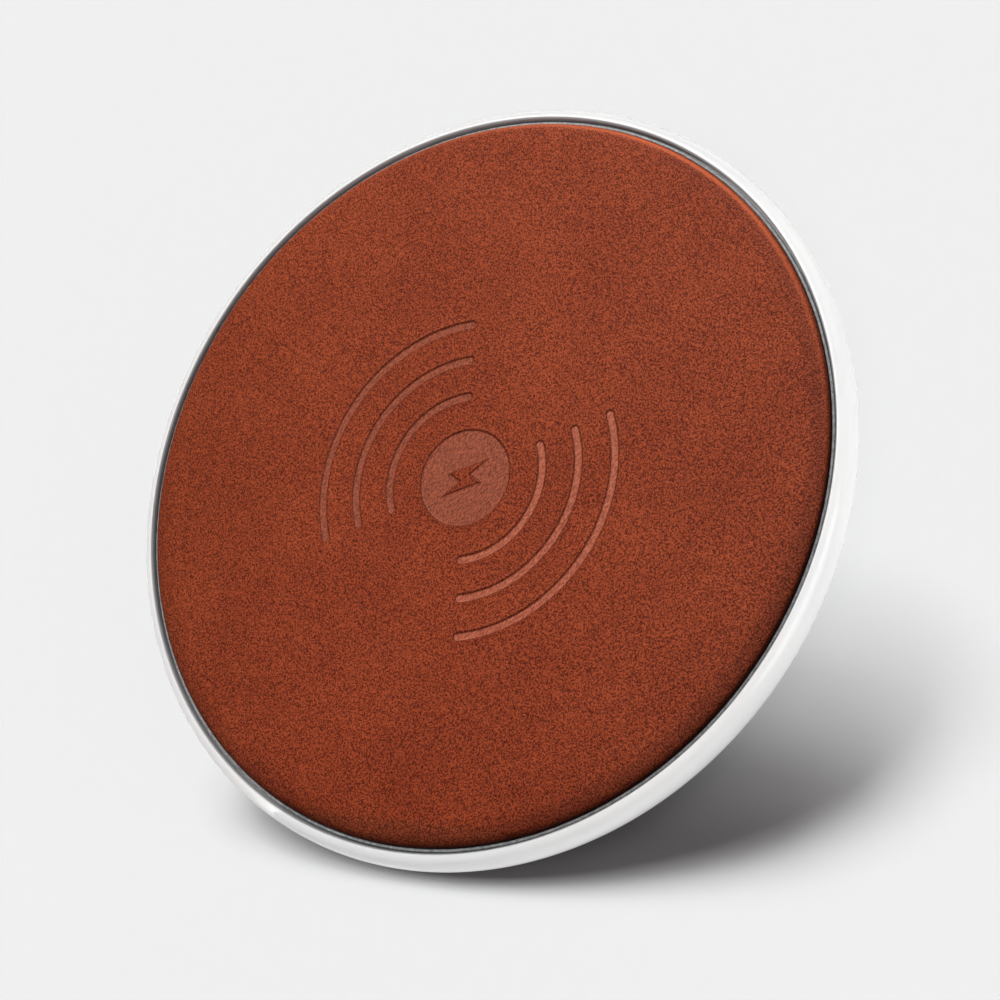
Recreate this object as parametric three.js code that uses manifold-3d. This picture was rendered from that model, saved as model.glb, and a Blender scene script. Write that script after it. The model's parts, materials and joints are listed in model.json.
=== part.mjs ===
// A round wireless charging pad: a leather-covered disc in a glossy white housing, with its coil,
// ferrite, circuit board and power inlet inside. Millimetres, +Z up. The origin is the middle of
// the surface that the pad stands on. The power inlet faces +Y.
import * as THREE from "three";
import { mergeVertices } from "three/addons/utils/BufferGeometryUtils.js";
import Module from "manifold-3d";

const wasm = await Module();
wasm.setup();

// ---- driving dimensions ----
const PAD_RADIUS = 50;
const PAD_HEIGHT = 8.4;
const ROUND_STEPS = 60; // facets of the large round pieces
const SMALL_STEPS = 16; // facets of screws, bosses and holes
const FIT = 0.05; // play between flat faces that meet
const CLEARANCE = 0.2; // play between a round piece and its seat

// Housing
const WIDEST_Z = 5.47; // height of the widest circle of the side wall
const LIP_CREST_RADIUS = 48.46;
const LIP_TOP_Z = 7.87;
const LIP_INNER_RADIUS = 48.15;
const LIP_FILLET = LIP_CREST_RADIUS - LIP_INNER_RADIUS;
const UNDERSIDE_RADIUS = 43; // where the rounded underside runs out into the flat base
const BASE_BOTTOM_Z = 0.7;
const BASE_FLOOR_Z = 1.7;
const SEAM_ANGLE = -50; // degrees below the widest circle, where the rim shell meets the base
const SEAM_GAP = 0.12;
const DECK_BOTTOM_Z = 5.8;
const DECK_TOP_Z = 6.8;
const WALL_INNER_RADIUS = 46.2;
const SPIGOT_TOP_Z = 2.7;
const SPIGOT_THICKNESS = 1.1;

// Foot ring and the screws under it
const FOOT_INNER_RADIUS = 34;
const FOOT_OUTER_RADIUS = 40;
const FOOT_GROOVE_Z = 1.1;
const FOOT_CHAMFER = 0.25;
const SCREW_CIRCLE_RADIUS = 37;
const SCREW_ANGLES = [18, 162, 234, 306]; // a pentagon without the corner at the power inlet
const SCREW_HEAD_RADIUS = 1.9;
const SCREW_SHANK_RADIUS = 0.95;
const SCREW_HEAD_TOP_Z = 1.85;
const SCREW_TIP_Z = 5.4;
const BASE_BOSS_RADIUS = 3;
const BASE_BOSS_TOP_Z = 2.8;
const BOARD_STAND_RADIUS = 2;
const DECK_BOSS_RADIUS = 2.3;
const DECK_BOSS_BOTTOM_Z = 2.9;

// Leather disc
const LEATHER_RADIUS = 47.5;
const LEATHER_THICKNESS = 0.9;
const LEATHER_SIDE_THICKNESS = 0.6;
const LEATHER_EDGE_WIDTH = 1.4; // the rolled edge is a quarter of an ellipse
const LEATHER_EDGE_DROP = 0.9;
const LEATHER_BOTTOM_Z = 6.95;
const TAPE_THICKNESS = 0.1;
const TAPE_RADIUS = 44;
const TRIM_INNER_RADIUS = 47.56;
const TRIM_OUTER_RADIUS = 47.96;
const TRIM_TOP_Z = 7.55;

// Pressed pattern in the leather
const PATTERN_CENTRE = [0.2, -1.1]; // the stamp lands a little off the pad's axis
const MEDALLION_RADIUS = 6.25;
const ARC_RADII = [10.8, 15.75, 20.65];
const ARC_HALF_ANGLE = 53;
const ARC_WIDTH = 0.9;
const PRESS_DEPTH = 0.3;
const BOLT_HEIGHT = 7.6;
const BOLT_CORNERS = [[1.8, 5], [-3.2, -1], [-0.5, -1], [-1.8, -5], [3.2, 1], [0.5, 1]]; // tenths

// Coil stack
const CUSHION_RADIUS = 22;
const CUSHION_TOP_Z = 3.35;
const FERRITE_RADIUS = 26;
const FERRITE_TOP_Z = 4.2;
const FERRITE_SLOT = { left: -1.6, right: 2.8 };
const RIB_THICKNESS = 1;
const RIB_TOP_Z = 3.2;
const COIL_TURNS = 10;
const COIL_INNER_RADIUS = 10.8;
const COIL_PITCH = 1.12;
const STRAND_RADIUS = 0.52;
const LEAD_RADIUS = 0.35;
const INNER_LEAD_X = 1.9;
const OUTER_LEAD_X = -4;
const SOLDER_INSET = 2; // how far the leads and the ribbon reach onto the board
const THERMISTOR = { x: -0.6, y: 1.4, radius: 0.8, stretch: 1.5 };
const RIBBON = { width: 1.2, thickness: 0.3 };

// Circuit board
const BOARD_INNER_RADIUS = 28.5;
const BOARD_OUTER_RADIUS = 44;
const BOARD_HALF_ANGLE = 52;
const BOARD_BOTTOM_Z = 2.2;
const BOARD_TOP_Z = 3;
const BOARD_TAB = { halfWidth: 5, end: 46.85, play: 0.6 };
const BOARD_SCREWS = [
  { radius: 40.5, angle: 46 },
  { radius: 40.5, angle: 134 },
  { radius: 32, angle: 66 },
];
const BOARD_SCREW_RADIUS = 0.65;
const BOARD_SCREW_HEAD = { radius: 1.5, height: 0.7 };
const BOARD_SCREW_TIP_Z = 1.25;

// Components on the board: width across the radius, depth along it, height, radius and angle
const CONTROLLER = [7, 7, 0.9, 36, 76];
const REGULATOR = [3, 1.7, 1.1, 38, 99];
const SENSE_RESISTOR = [3.2, 1.6, 0.6, 33, 101];
const BRIDGE_MOSFETS = [[5, 4, 1.5, 34, 56], [5, 4, 1.5, 34, 47]];
const RESONANCE_CAPACITORS = [
  [3.2, 4.5, 1.9, 33.2, 125],
  [3.2, 4.5, 1.9, 33.2, 131.5],
  [3.2, 4.5, 1.9, 33.2, 138],
  [4.5, 3.2, 1.9, 41.2, 122],
];
const INPUT_CAPACITORS = [[1.6, 3.2, 1.6, 41, 107], [1.6, 3.2, 1.6, 41, 112]];
const INDUCTOR = { side: 5, corner: 1.2, height: 2.2, radius: 36, angle: 114 };
const LED = { width: 2.8, depth: 1, height: 1.3, radius: 43 };

// Power inlet
const USB = { width: 7.6, height: 2.6, back: 43.3, mouth: 48.8, wall: 0.3, cut: 0.9 };
const TONGUE = { width: 3.9, thickness: 0.6, end: USB.mouth - 0.7 };
const INSERT_BLOCK = { width: 5, depth: 1, play: 0.1 };
const CONTACT = { count: 5, pitch: 0.65, width: 0.35, length: 2.6, thickness: 0.12, inset: 1.7 };
const PORT = { width: 8.2, bottom: 2.85, top: 5.78, corner: 0.4 };
const LIGHT_PIPE = { angle: 72, radius: 0.8, inner: 45.2, outer: 49.6, height: 4, play: 0.15 };

// ---- materials ----
function material(color, roughness, metalness = 0) {
  return new THREE.MeshStandardMaterial({ color, roughness, metalness });
}

const FINISH = {
  leather: () => material(0x8f3a22, 0.55),
  board: () => material(0x3b3a38, 0.9),
  tape: () => material(0xd8d4c4, 0.7),
  trim: () => material(0x8d9191, 0.5, 0.4),
  glossWhite: () => material(0xf4f4f2, 0.12),
  mattWhite: () => material(0xe6e6e3, 0.5),
  rubber: () => material(0x3a3b3d, 0.85),
  steel: () => material(0xa9abad, 0.35, 1),
  circuitBoard: () => material(0x1d5a37, 0.45),
  copper: () => material(0xb8693a, 0.4, 0.8),
  ferrite: () => material(0x2f3033, 0.7),
  foam: () => material(0x27282a, 0.95),
  chip: () => material(0x1b1c1e, 0.5),
  ceramic: () => material(0xb79a6b, 0.5),
  epoxy: () => material(0x24262b, 0.3),
  ribbon: () => material(0xc9a24b, 0.45),
  lamp: () => material(0xf2f0dc, 0.25),
  clear: () => material(0xe3eef0, 0.08),
  gold: () => material(0xd0a648, 0.25, 1),
};

// ---- solids ----
// A closed three.js geometry as a solid that can be joined and cut.
function solid(geometry) {
  const bare = geometry.clone();
  bare.deleteAttribute("normal");
  bare.deleteAttribute("uv");
  const merged = mergeVertices(bare, 1e-4);
  const corners = merged.index.array;
  const kept = [];
  for (let i = 0; i < corners.length; i += 3) {
    const [a, b, c] = [corners[i], corners[i + 1], corners[i + 2]];
    if (a !== b && b !== c && c !== a) kept.push(a, b, c);
  }
  const vertProperties = new Float32Array(merged.attributes.position.array);
  const triVerts = new Uint32Array(kept);
  return new wasm.Manifold(new wasm.Mesh({ numProp: 3, vertProperties, triVerts }));
}

function geometryOf(shape) {
  const { vertProperties, triVerts } = shape.getMesh();
  const geometry = new THREE.BufferGeometry();
  geometry.setAttribute("position", new THREE.BufferAttribute(vertProperties, 3));
  geometry.setIndex(new THREE.BufferAttribute(triVerts, 1));
  geometry.computeVertexNormals();
  return geometry;
}

// A profile of [radius, z] points, counter-clockwise with the radius to the right, turned about Z.
function turned(profile, steps = ROUND_STEPS) {
  const points = profile.map(([radius, z]) => new THREE.Vector2(radius, z));
  const first = points[0];
  const last = points[points.length - 1];
  if (first.x > 0 || last.x > 0) points.push(first.clone());
  const geometry = new THREE.LatheGeometry(points, steps);
  geometry.rotateX(Math.PI / 2);
  return solid(geometry);
}

function ring(inner, outer, bottom, top, steps = ROUND_STEPS) {
  return turned([[inner, bottom], [outer, bottom], [outer, top], [inner, top]], steps);
}

function disc(radius, bottom, top, steps = ROUND_STEPS) {
  return turned([[0, bottom], [radius, bottom], [radius, top], [0, top]], steps);
}

// A flat outline in XY, raised from bottom to top.
function raised(outline, bottom, top, curveSegments = 12) {
  const options = { depth: top - bottom, bevelEnabled: false, curveSegments };
  const geometry = new THREE.ExtrudeGeometry(outline, options);
  geometry.translate(0, 0, bottom);
  return solid(geometry);
}

function box(width, depth, bottom, top, x = 0, y = 0) {
  const geometry = new THREE.BoxGeometry(width, depth, top - bottom);
  geometry.translate(x, y, (bottom + top) / 2);
  return solid(geometry);
}

function radians(degrees) {
  return THREE.MathUtils.degToRad(degrees);
}

function polar(radius, degrees) {
  return [radius * Math.cos(radians(degrees)), radius * Math.sin(radians(degrees))];
}

// A turned piece moved to a place on a circle about the pad's axis.
function placed(shape, radius, degrees) {
  const [x, y] = polar(radius, degrees);
  return shape.translate([x, y, 0]);
}

// Points of an ellipse arc in the [radius, z] plane, from one angle to another in degrees.
function ellipseArc(centre, across, up, from, to, steps) {
  const points = [];
  for (let i = 0; i <= steps; i += 1) {
    const angle = radians(from + ((to - from) * i) / steps);
    points.push([centre[0] + across * Math.cos(angle), centre[1] + up * Math.sin(angle)]);
  }
  return points;
}

function roundedRectangle(width, height, corner, centreX, centreY) {
  const [left, right] = [centreX - width / 2, centreX + width / 2];
  const [low, high] = [centreY - height / 2, centreY + height / 2];
  const outline = new THREE.Shape();
  outline.moveTo(left + corner, low);
  outline.lineTo(right - corner, low);
  outline.absarc(right - corner, low + corner, corner, -Math.PI / 2, 0);
  outline.lineTo(right, high - corner);
  outline.absarc(right - corner, high - corner, corner, 0, Math.PI / 2);
  outline.lineTo(left + corner, high);
  outline.absarc(left + corner, high - corner, corner, Math.PI / 2, Math.PI);
  outline.lineTo(left, low + corner);
  outline.absarc(left + corner, low + corner, corner, Math.PI, 1.5 * Math.PI);
  return outline;
}

// An outline drawn in XZ, as seen from +Y, stretched between two values of y.
function alongY(outline, from, to, curveSegments = 4) {
  const options = { depth: to - from, bevelEnabled: false, curveSegments };
  const geometry = new THREE.ExtrudeGeometry(outline, options);
  geometry.rotateX(Math.PI / 2);
  geometry.translate(0, to, 0);
  return solid(geometry);
}

function polygon(radius, sides) {
  const points = [];
  for (let i = 0; i < sides; i += 1) {
    const angle = (2 * Math.PI * i) / sides;
    points.push(new THREE.Vector2(radius * Math.cos(angle), radius * Math.sin(angle)));
  }
  return new THREE.Shape(points);
}

function wire(curve, radius, steps, sides = 6) {
  const options = { steps, bevelEnabled: false, extrudePath: curve };
  return solid(new THREE.ExtrudeGeometry(polygon(radius, sides), options));
}

// ---- the pressed pattern ----
// A stroke along a circle, with round ends, centred on the given direction.
function arcStroke(radius, direction) {
  const half = ARC_WIDTH / 2;
  const from = radians(direction - ARC_HALF_ANGLE);
  const to = radians(direction + ARC_HALF_ANGLE);
  const stroke = new THREE.Shape();
  stroke.absarc(0, 0, radius + half, from, to, false);
  stroke.absarc(radius * Math.cos(to), radius * Math.sin(to), half, to, to + Math.PI, false);
  stroke.absarc(0, 0, radius - half, to, from, true);
  const start = [radius * Math.cos(from), radius * Math.sin(from)];
  stroke.absarc(start[0], start[1], half, from + Math.PI, from + 2 * Math.PI, false);
  return stroke;
}

// A plain lightning bolt, upright along +Y and centred on the medallion.
function boltOutline() {
  const unit = BOLT_HEIGHT / 10;
  return new THREE.Shape(BOLT_CORNERS.map(([x, y]) => new THREE.Vector2(x * unit, y * unit)));
}

function pressedPattern() {
  const bottom = PAD_HEIGHT - PRESS_DEPTH;
  const above = PAD_HEIGHT + 1;
  const bolt = raised(boltOutline(), bottom - 1, above + 1);
  let pattern = disc(MEDALLION_RADIUS, bottom, above, 32).subtract(bolt);
  for (const direction of [0, 180]) {
    for (const radius of ARC_RADII) {
      pattern = pattern.add(raised(arcStroke(radius, direction), bottom, above, 8));
    }
  }
  return pattern.translate([...PATTERN_CENTRE, 0]);
}

// ---- housing and top ----
function leatherTop() {
  const inner = LEATHER_RADIUS - LEATHER_SIDE_THICKNESS;
  const under = PAD_HEIGHT - LEATHER_THICKNESS;
  const edge = [LEATHER_RADIUS - LEATHER_EDGE_WIDTH, PAD_HEIGHT - LEATHER_EDGE_DROP];
  const rounded = ellipseArc(edge, LEATHER_EDGE_WIDTH, LEATHER_EDGE_DROP, 0, 90, 5);
  const profile = [
    [0, under],
    [inner, under],
    [inner, LEATHER_BOTTOM_Z],
    [LEATHER_RADIUS, LEATHER_BOTTOM_Z],
    ...rounded,
    [0, PAD_HEIGHT],
  ];
  return turned(profile).subtract(pressedPattern());
}

function leatherBoard() {
  const radius = LEATHER_RADIUS - LEATHER_SIDE_THICKNESS - FIT;
  const bottom = DECK_TOP_Z + TAPE_THICKNESS + FIT;
  return disc(radius, bottom, PAD_HEIGHT - LEATHER_THICKNESS - FIT);
}

function rimShell() {
  const upper = PAD_RADIUS - LIP_CREST_RADIUS;
  const lower = PAD_RADIUS - UNDERSIDE_RADIUS;
  const drop = WIDEST_Z - BASE_BOTTOM_Z;
  const underside = ellipseArc([UNDERSIDE_RADIUS, WIDEST_Z], lower, drop, SEAM_ANGLE, 0, 6);
  const crown = ellipseArc([LIP_CREST_RADIUS, WIDEST_Z], upper, LIP_TOP_Z - WIDEST_Z, 0, 90, 6);
  const filletCentre = [LIP_CREST_RADIUS, LIP_TOP_Z - LIP_FILLET];
  const lip = ellipseArc(filletCentre, LIP_FILLET, LIP_FILLET, 90, 180, 3);
  const seam = underside[0];
  const profile = [
    ...underside,
    ...crown.slice(1),
    ...lip.slice(1),
    [LIP_INNER_RADIUS, DECK_TOP_Z],
    [0, DECK_TOP_Z],
    [0, DECK_BOTTOM_Z],
    [WALL_INNER_RADIUS, DECK_BOTTOM_Z],
    [WALL_INNER_RADIUS, seam[1]],
  ];
  // The profile crosses the axis in its middle, so it is turned from the deck's underside round.
  const start = profile.findIndex(([radius, z]) => radius === 0 && z === DECK_BOTTOM_Z);
  let shell = turned([...profile.slice(start), ...profile.slice(0, start)]);
  const boss = ring(SCREW_SHANK_RADIUS + CLEARANCE, DECK_BOSS_RADIUS, DECK_BOSS_BOTTOM_Z,
    DECK_BOTTOM_Z + FIT, SMALL_STEPS);
  for (const angle of SCREW_ANGLES) {
    shell = shell.add(placed(boss, SCREW_CIRCLE_RADIUS, angle));
  }
  const middle = (PORT.bottom + PORT.top) / 2;
  const port = roundedRectangle(PORT.width, PORT.top - PORT.bottom, PORT.corner, 0, middle);
  shell = shell.subtract(alongY(port, WALL_INNER_RADIUS - 2, PAD_RADIUS + 1));
  const pocketDepth = BOARD_TAB.end + CLEARANCE - (WALL_INNER_RADIUS - 1);
  const pocketMiddle = BOARD_TAB.end + CLEARANCE - pocketDepth / 2;
  const pocketWidth = 2 * (BOARD_TAB.halfWidth + BOARD_TAB.play);
  shell = shell.subtract(
    box(pocketWidth, pocketDepth, seam[1] - 1, PORT.bottom + BOARD_TAB.play, 0, pocketMiddle),
  );
  const boreRadius = LIGHT_PIPE.radius + LIGHT_PIPE.play;
  return shell.subtract(lightPipeRod(boreRadius, WALL_INNER_RADIUS - 2, PAD_RADIUS + 1));
}

// A round rod that lies along a radius at the light pipe's place.
function lightPipeRod(radius, inner, outer) {
  const geometry = new THREE.CylinderGeometry(radius, radius, outer - inner, SMALL_STEPS);
  geometry.translate(0, (inner + outer) / 2, LIGHT_PIPE.height);
  geometry.rotateZ(radians(LIGHT_PIPE.angle - 90));
  return solid(geometry);
}

function baseCover() {
  const lower = PAD_RADIUS - UNDERSIDE_RADIUS;
  const drop = WIDEST_Z - BASE_BOTTOM_Z;
  const underside = ellipseArc([UNDERSIDE_RADIUS, WIDEST_Z], lower, drop, -90, SEAM_ANGLE, 4);
  const seam = underside.pop();
  const spigot = WALL_INNER_RADIUS - CLEARANCE;
  const profile = [
    [0, BASE_BOTTOM_Z],
    [FOOT_INNER_RADIUS - CLEARANCE, BASE_BOTTOM_Z],
    [FOOT_INNER_RADIUS - CLEARANCE, FOOT_GROOVE_Z],
    [FOOT_OUTER_RADIUS + CLEARANCE, FOOT_GROOVE_Z],
    [FOOT_OUTER_RADIUS + CLEARANCE, BASE_BOTTOM_Z],
    ...underside,
    [seam[0] - SEAM_GAP, seam[1] - SEAM_GAP],
    [spigot, seam[1] - SEAM_GAP],
    [spigot, SPIGOT_TOP_Z],
    [spigot - SPIGOT_THICKNESS, SPIGOT_TOP_Z],
    [spigot - SPIGOT_THICKNESS, BASE_FLOOR_Z],
    [0, BASE_FLOOR_Z],
  ];
  let cover = turned(profile);
  const rib = FERRITE_RADIUS + CLEARANCE;
  cover = cover.add(ring(rib, rib + RIB_THICKNESS, BASE_FLOOR_Z - FIT, RIB_TOP_Z, 48));
  const boss = disc(BASE_BOSS_RADIUS, BASE_FLOOR_Z - FIT, BASE_BOSS_TOP_Z, SMALL_STEPS);
  const bore = disc(SCREW_SHANK_RADIUS + CLEARANCE, 0, BASE_BOSS_TOP_Z + 1, SMALL_STEPS);
  const sink = disc(SCREW_HEAD_RADIUS + CLEARANCE, 0, SCREW_HEAD_TOP_Z + FIT, SMALL_STEPS);
  for (const angle of SCREW_ANGLES) {
    cover = cover.add(placed(boss, SCREW_CIRCLE_RADIUS, angle));
    cover = cover.subtract(placed(bore.add(sink), SCREW_CIRCLE_RADIUS, angle));
  }
  const stand = disc(BOARD_STAND_RADIUS, BASE_FLOOR_Z - FIT, BOARD_BOTTOM_Z - FIT, SMALL_STEPS);
  const pilot = disc(BOARD_SCREW_RADIUS + CLEARANCE, BOARD_SCREW_TIP_Z - 0.1, BOARD_TOP_Z, SMALL_STEPS);
  for (const { radius, angle } of BOARD_SCREWS) {
    cover = cover.add(placed(stand, radius, angle));
    cover = cover.subtract(placed(pilot, radius, angle));
  }
  const notchWidth = 2 * (BOARD_TAB.halfWidth + BOARD_TAB.play);
  return cover.subtract(box(notchWidth, 4, BASE_FLOOR_Z, SPIGOT_TOP_Z + 1, 0, 46));
}

function footRing() {
  return turned([
    [FOOT_INNER_RADIUS, FOOT_CHAMFER],
    [FOOT_INNER_RADIUS + FOOT_CHAMFER, 0],
    [FOOT_OUTER_RADIUS - FOOT_CHAMFER, 0],
    [FOOT_OUTER_RADIUS, FOOT_CHAMFER],
    [FOOT_OUTER_RADIUS, FOOT_GROOVE_Z - FIT],
    [FOOT_INNER_RADIUS, FOOT_GROOVE_Z - FIT],
  ]);
}

function caseScrew(angle) {
  const headBottom = FOOT_GROOVE_Z + FIT;
  const screw = turned([
    [0, headBottom],
    [SCREW_HEAD_RADIUS, headBottom],
    [SCREW_HEAD_RADIUS, SCREW_HEAD_TOP_Z],
    [SCREW_SHANK_RADIUS, SCREW_HEAD_TOP_Z],
    [SCREW_SHANK_RADIUS, SCREW_TIP_Z - 0.6],
    [0, SCREW_TIP_Z],
  ], SMALL_STEPS);
  const recess = crossRecess(0.5, headBottom - 1, headBottom + 0.4);
  return placed(screw.subtract(recess), SCREW_CIRCLE_RADIUS, angle);
}

function crossRecess(width, bottom, top) {
  const length = width * 4;
  return box(length, width, bottom, top).add(box(width, length, bottom, top));
}

// ---- coil stack ----
class FlatSpiral extends THREE.Curve {
  constructor(inner, pitch, turns, height, startAngle) {
    super();
    Object.assign(this, { inner, pitch, turns, height, startAngle });
    this.arcLengthDivisions = 200 * turns;
  }

  getPoint(t, target = new THREE.Vector3()) {
    const radius = this.inner + this.pitch * this.turns * t;
    const angle = this.startAngle + 2 * Math.PI * this.turns * t;
    return target.set(radius * Math.cos(angle), radius * Math.sin(angle), this.height);
  }
}

function coilHeight() {
  return FERRITE_TOP_Z + FIT + STRAND_RADIUS;
}

function transmitCoil() {
  const spiral = new FlatSpiral(COIL_INNER_RADIUS, COIL_PITCH, COIL_TURNS, coilHeight(), Math.PI / 2);
  return wire(spiral, STRAND_RADIUS, COIL_TURNS * 20);
}

function path(points) {
  return new THREE.CatmullRomCurve3(points.map(([x, y, z]) => new THREE.Vector3(x, y, z)));
}

// From the end of the innermost turn, down through the ferrite's slot and out to the board.
function coilLeadInner() {
  const top = coilHeight();
  const slot = CUSHION_TOP_Z + FIT + LEAD_RADIUS + 0.04;
  const solder = BOARD_TOP_Z + FIT + LEAD_RADIUS;
  const x = INNER_LEAD_X;
  const route = path([
    [0.45, COIL_INNER_RADIUS - 0.05, top],
    [1.3, COIL_INNER_RADIUS - 0.7, top - 0.2],
    [x, COIL_INNER_RADIUS - 1, top - 0.65],
    [x, COIL_INNER_RADIUS, slot],
    [x, FERRITE_RADIUS / 2 + 4, slot],
    [x, FERRITE_RADIUS + 0.8, slot],
    [x, FERRITE_RADIUS + 2.8, slot - 0.1],
    [x, BOARD_INNER_RADIUS + SOLDER_INSET, solder],
  ]);
  return wire(route, LEAD_RADIUS, 36);
}

// From the end of the outermost turn, over the ferrite's edge and down to the board.
function coilLeadOuter() {
  const end = COIL_INNER_RADIUS + COIL_PITCH * COIL_TURNS;
  const top = coilHeight();
  const solder = BOARD_TOP_Z + FIT + LEAD_RADIUS;
  const x = OUTER_LEAD_X;
  const route = path([
    [-0.45, end, top],
    [-2, end + 0.9, top],
    [x + 0.6, end + 2.8, top],
    [x, FERRITE_RADIUS + 0.9, top - 0.1],
    [x, BOARD_INNER_RADIUS + 0.4, solder + 0.5],
    [x, BOARD_INNER_RADIUS + SOLDER_INSET, solder],
  ]);
  return wire(route, LEAD_RADIUS, 24);
}

function ferriteDisc() {
  const plate = disc(FERRITE_RADIUS, CUSHION_TOP_Z + FIT, FERRITE_TOP_Z, 48);
  const width = FERRITE_SLOT.right - FERRITE_SLOT.left;
  const middle = (FERRITE_SLOT.right + FERRITE_SLOT.left) / 2;
  const length = FERRITE_RADIUS + 2;
  return plate.subtract(box(width, length, CUSHION_TOP_Z - 1, FERRITE_TOP_Z + 1, middle, length / 2));
}

function coilCushion() {
  return disc(CUSHION_RADIUS, BASE_FLOOR_Z + FIT, CUSHION_TOP_Z, 48);
}

function thermistor() {
  const bead = new THREE.SphereGeometry(THERMISTOR.radius, 12, 8);
  bead.scale(1, THERMISTOR.stretch, 1);
  bead.translate(THERMISTOR.x, THERMISTOR.y, CUSHION_TOP_Z + FIT + THERMISTOR.radius);
  return solid(bead);
}

function thermistorLead() {
  const bottom = CUSHION_TOP_Z + FIT;
  const side = new THREE.Shape();
  const start = THERMISTOR.y + THERMISTOR.radius * THERMISTOR.stretch + CLEARANCE;
  const descent = FERRITE_RADIUS + 1.4;
  const landing = BOARD_INNER_RADIUS + CLEARANCE;
  const end = landing + SOLDER_INSET;
  const board = BOARD_TOP_Z + FIT;
  const { width, thickness } = RIBBON;
  side.moveTo(start, bottom);
  side.lineTo(descent, bottom);
  side.lineTo(landing, board);
  side.lineTo(end, board);
  side.lineTo(end, board + thickness);
  side.lineTo(landing, board + thickness);
  side.lineTo(descent, bottom + thickness);
  side.lineTo(start, bottom + thickness);
  const geometry = new THREE.ExtrudeGeometry(side, { depth: width, bevelEnabled: false });
  geometry.rotateX(Math.PI / 2);
  geometry.rotateZ(Math.PI / 2);
  geometry.translate(THERMISTOR.x - width / 2, 0, 0);
  return solid(geometry);
}

// ---- circuit board ----
function mainBoard() {
  const outline = new THREE.Shape();
  const from = radians(90 - BOARD_HALF_ANGLE);
  const to = radians(90 + BOARD_HALF_ANGLE);
  outline.absarc(0, 0, BOARD_OUTER_RADIUS, from, to, false);
  outline.absarc(0, 0, BOARD_INNER_RADIUS, to, from, true);
  let board = raised(outline, BOARD_BOTTOM_Z, BOARD_TOP_Z, 20);
  const tabStart = BOARD_OUTER_RADIUS - 3;
  const tabLength = BOARD_TAB.end - tabStart;
  const tabMiddle = (BOARD_TAB.end + tabStart) / 2;
  board = board.add(
    box(2 * BOARD_TAB.halfWidth, tabLength, BOARD_BOTTOM_Z, BOARD_TOP_Z, 0, tabMiddle),
  );
  const hole = disc(BOARD_SCREW_RADIUS + CLEARANCE, 0, BOARD_TOP_Z + 1, SMALL_STEPS);
  for (const { radius, angle } of BOARD_SCREWS) {
    board = board.subtract(placed(hole, radius, angle));
  }
  return board;
}

function boardScrew({ radius, angle }) {
  const bottom = BOARD_TOP_Z + FIT;
  const screw = turned([
    [0, BOARD_SCREW_TIP_Z],
    [BOARD_SCREW_RADIUS, BOARD_SCREW_TIP_Z + 0.3],
    [BOARD_SCREW_RADIUS, bottom],
    [BOARD_SCREW_HEAD.radius, bottom],
    [BOARD_SCREW_HEAD.radius - 0.1, bottom + BOARD_SCREW_HEAD.height],
    [0, bottom + BOARD_SCREW_HEAD.height],
  ], SMALL_STEPS);
  const top = bottom + BOARD_SCREW_HEAD.height;
  return placed(screw.subtract(crossRecess(0.4, top - 0.35, top + 1)), radius, angle);
}

// A component body on the board, turned so that its depth lies along the radius.
function component([width, depth, height, radius, angle]) {
  const bottom = BOARD_TOP_Z + FIT;
  const block = box(width, depth, bottom, bottom + height, 0, radius);
  return block.rotate([0, 0, angle - 90]);
}

function powerInductor() {
  const bottom = BOARD_TOP_Z + FIT;
  const { side, corner, height, radius, angle } = INDUCTOR;
  const body = roundedRectangle(side, side, corner, 0, radius);
  return raised(body, bottom, bottom + height, 3).rotate([0, 0, angle - 90]);
}

// ---- power inlet ----
// The socket's outline seen from the mouth: a box whose lower corners are cut off.
function socketOutline(inset) {
  const half = USB.width / 2 - inset;
  const low = BOARD_TOP_Z + FIT + inset;
  const high = BOARD_TOP_Z + FIT + USB.height - inset;
  const { cut } = USB;
  const corners = [
    [-half + cut, low],
    [half - cut, low],
    [half, low + cut],
    [half, high],
    [-half, high],
    [-half, low + cut],
  ];
  return new THREE.Shape(corners.map(([x, z]) => new THREE.Vector2(x, z)));
}

function usbShell() {
  const outer = alongY(socketOutline(0), USB.back, USB.mouth);
  return outer.subtract(alongY(socketOutline(USB.wall), USB.back + USB.wall, USB.mouth + 1));
}

function tongueTop() {
  return BOARD_TOP_Z + FIT + USB.height - USB.wall - 0.4;
}

function usbInsert() {
  const { width, depth, play } = INSERT_BLOCK;
  const low = BOARD_TOP_Z + FIT + USB.wall + play;
  const high = BOARD_TOP_Z + FIT + USB.height - USB.wall - play;
  const blockMiddle = USB.back + USB.wall + play + depth / 2;
  const block = box(width, depth, low, high, 0, blockMiddle);
  const length = TONGUE.end - blockMiddle;
  const middle = blockMiddle + length / 2;
  const tongue = box(TONGUE.width, length, tongueTop() - TONGUE.thickness, tongueTop(), 0, middle);
  return block.add(tongue);
}

function usbContact(index) {
  const { count, pitch, width, length, thickness, inset } = CONTACT;
  const top = tongueTop() - TONGUE.thickness - 0.03;
  const x = (index - (count - 1) / 2) * pitch;
  return box(width, length, top - thickness, top, x, TONGUE.end - inset);
}

// ---- assembly ----
const pad = new THREE.Group();

function addPiece(name, shape, finish, group = pad) {
  const mesh = new THREE.Mesh(geometryOf(shape), finish());
  mesh.name = name;
  group.add(mesh);
}

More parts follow.
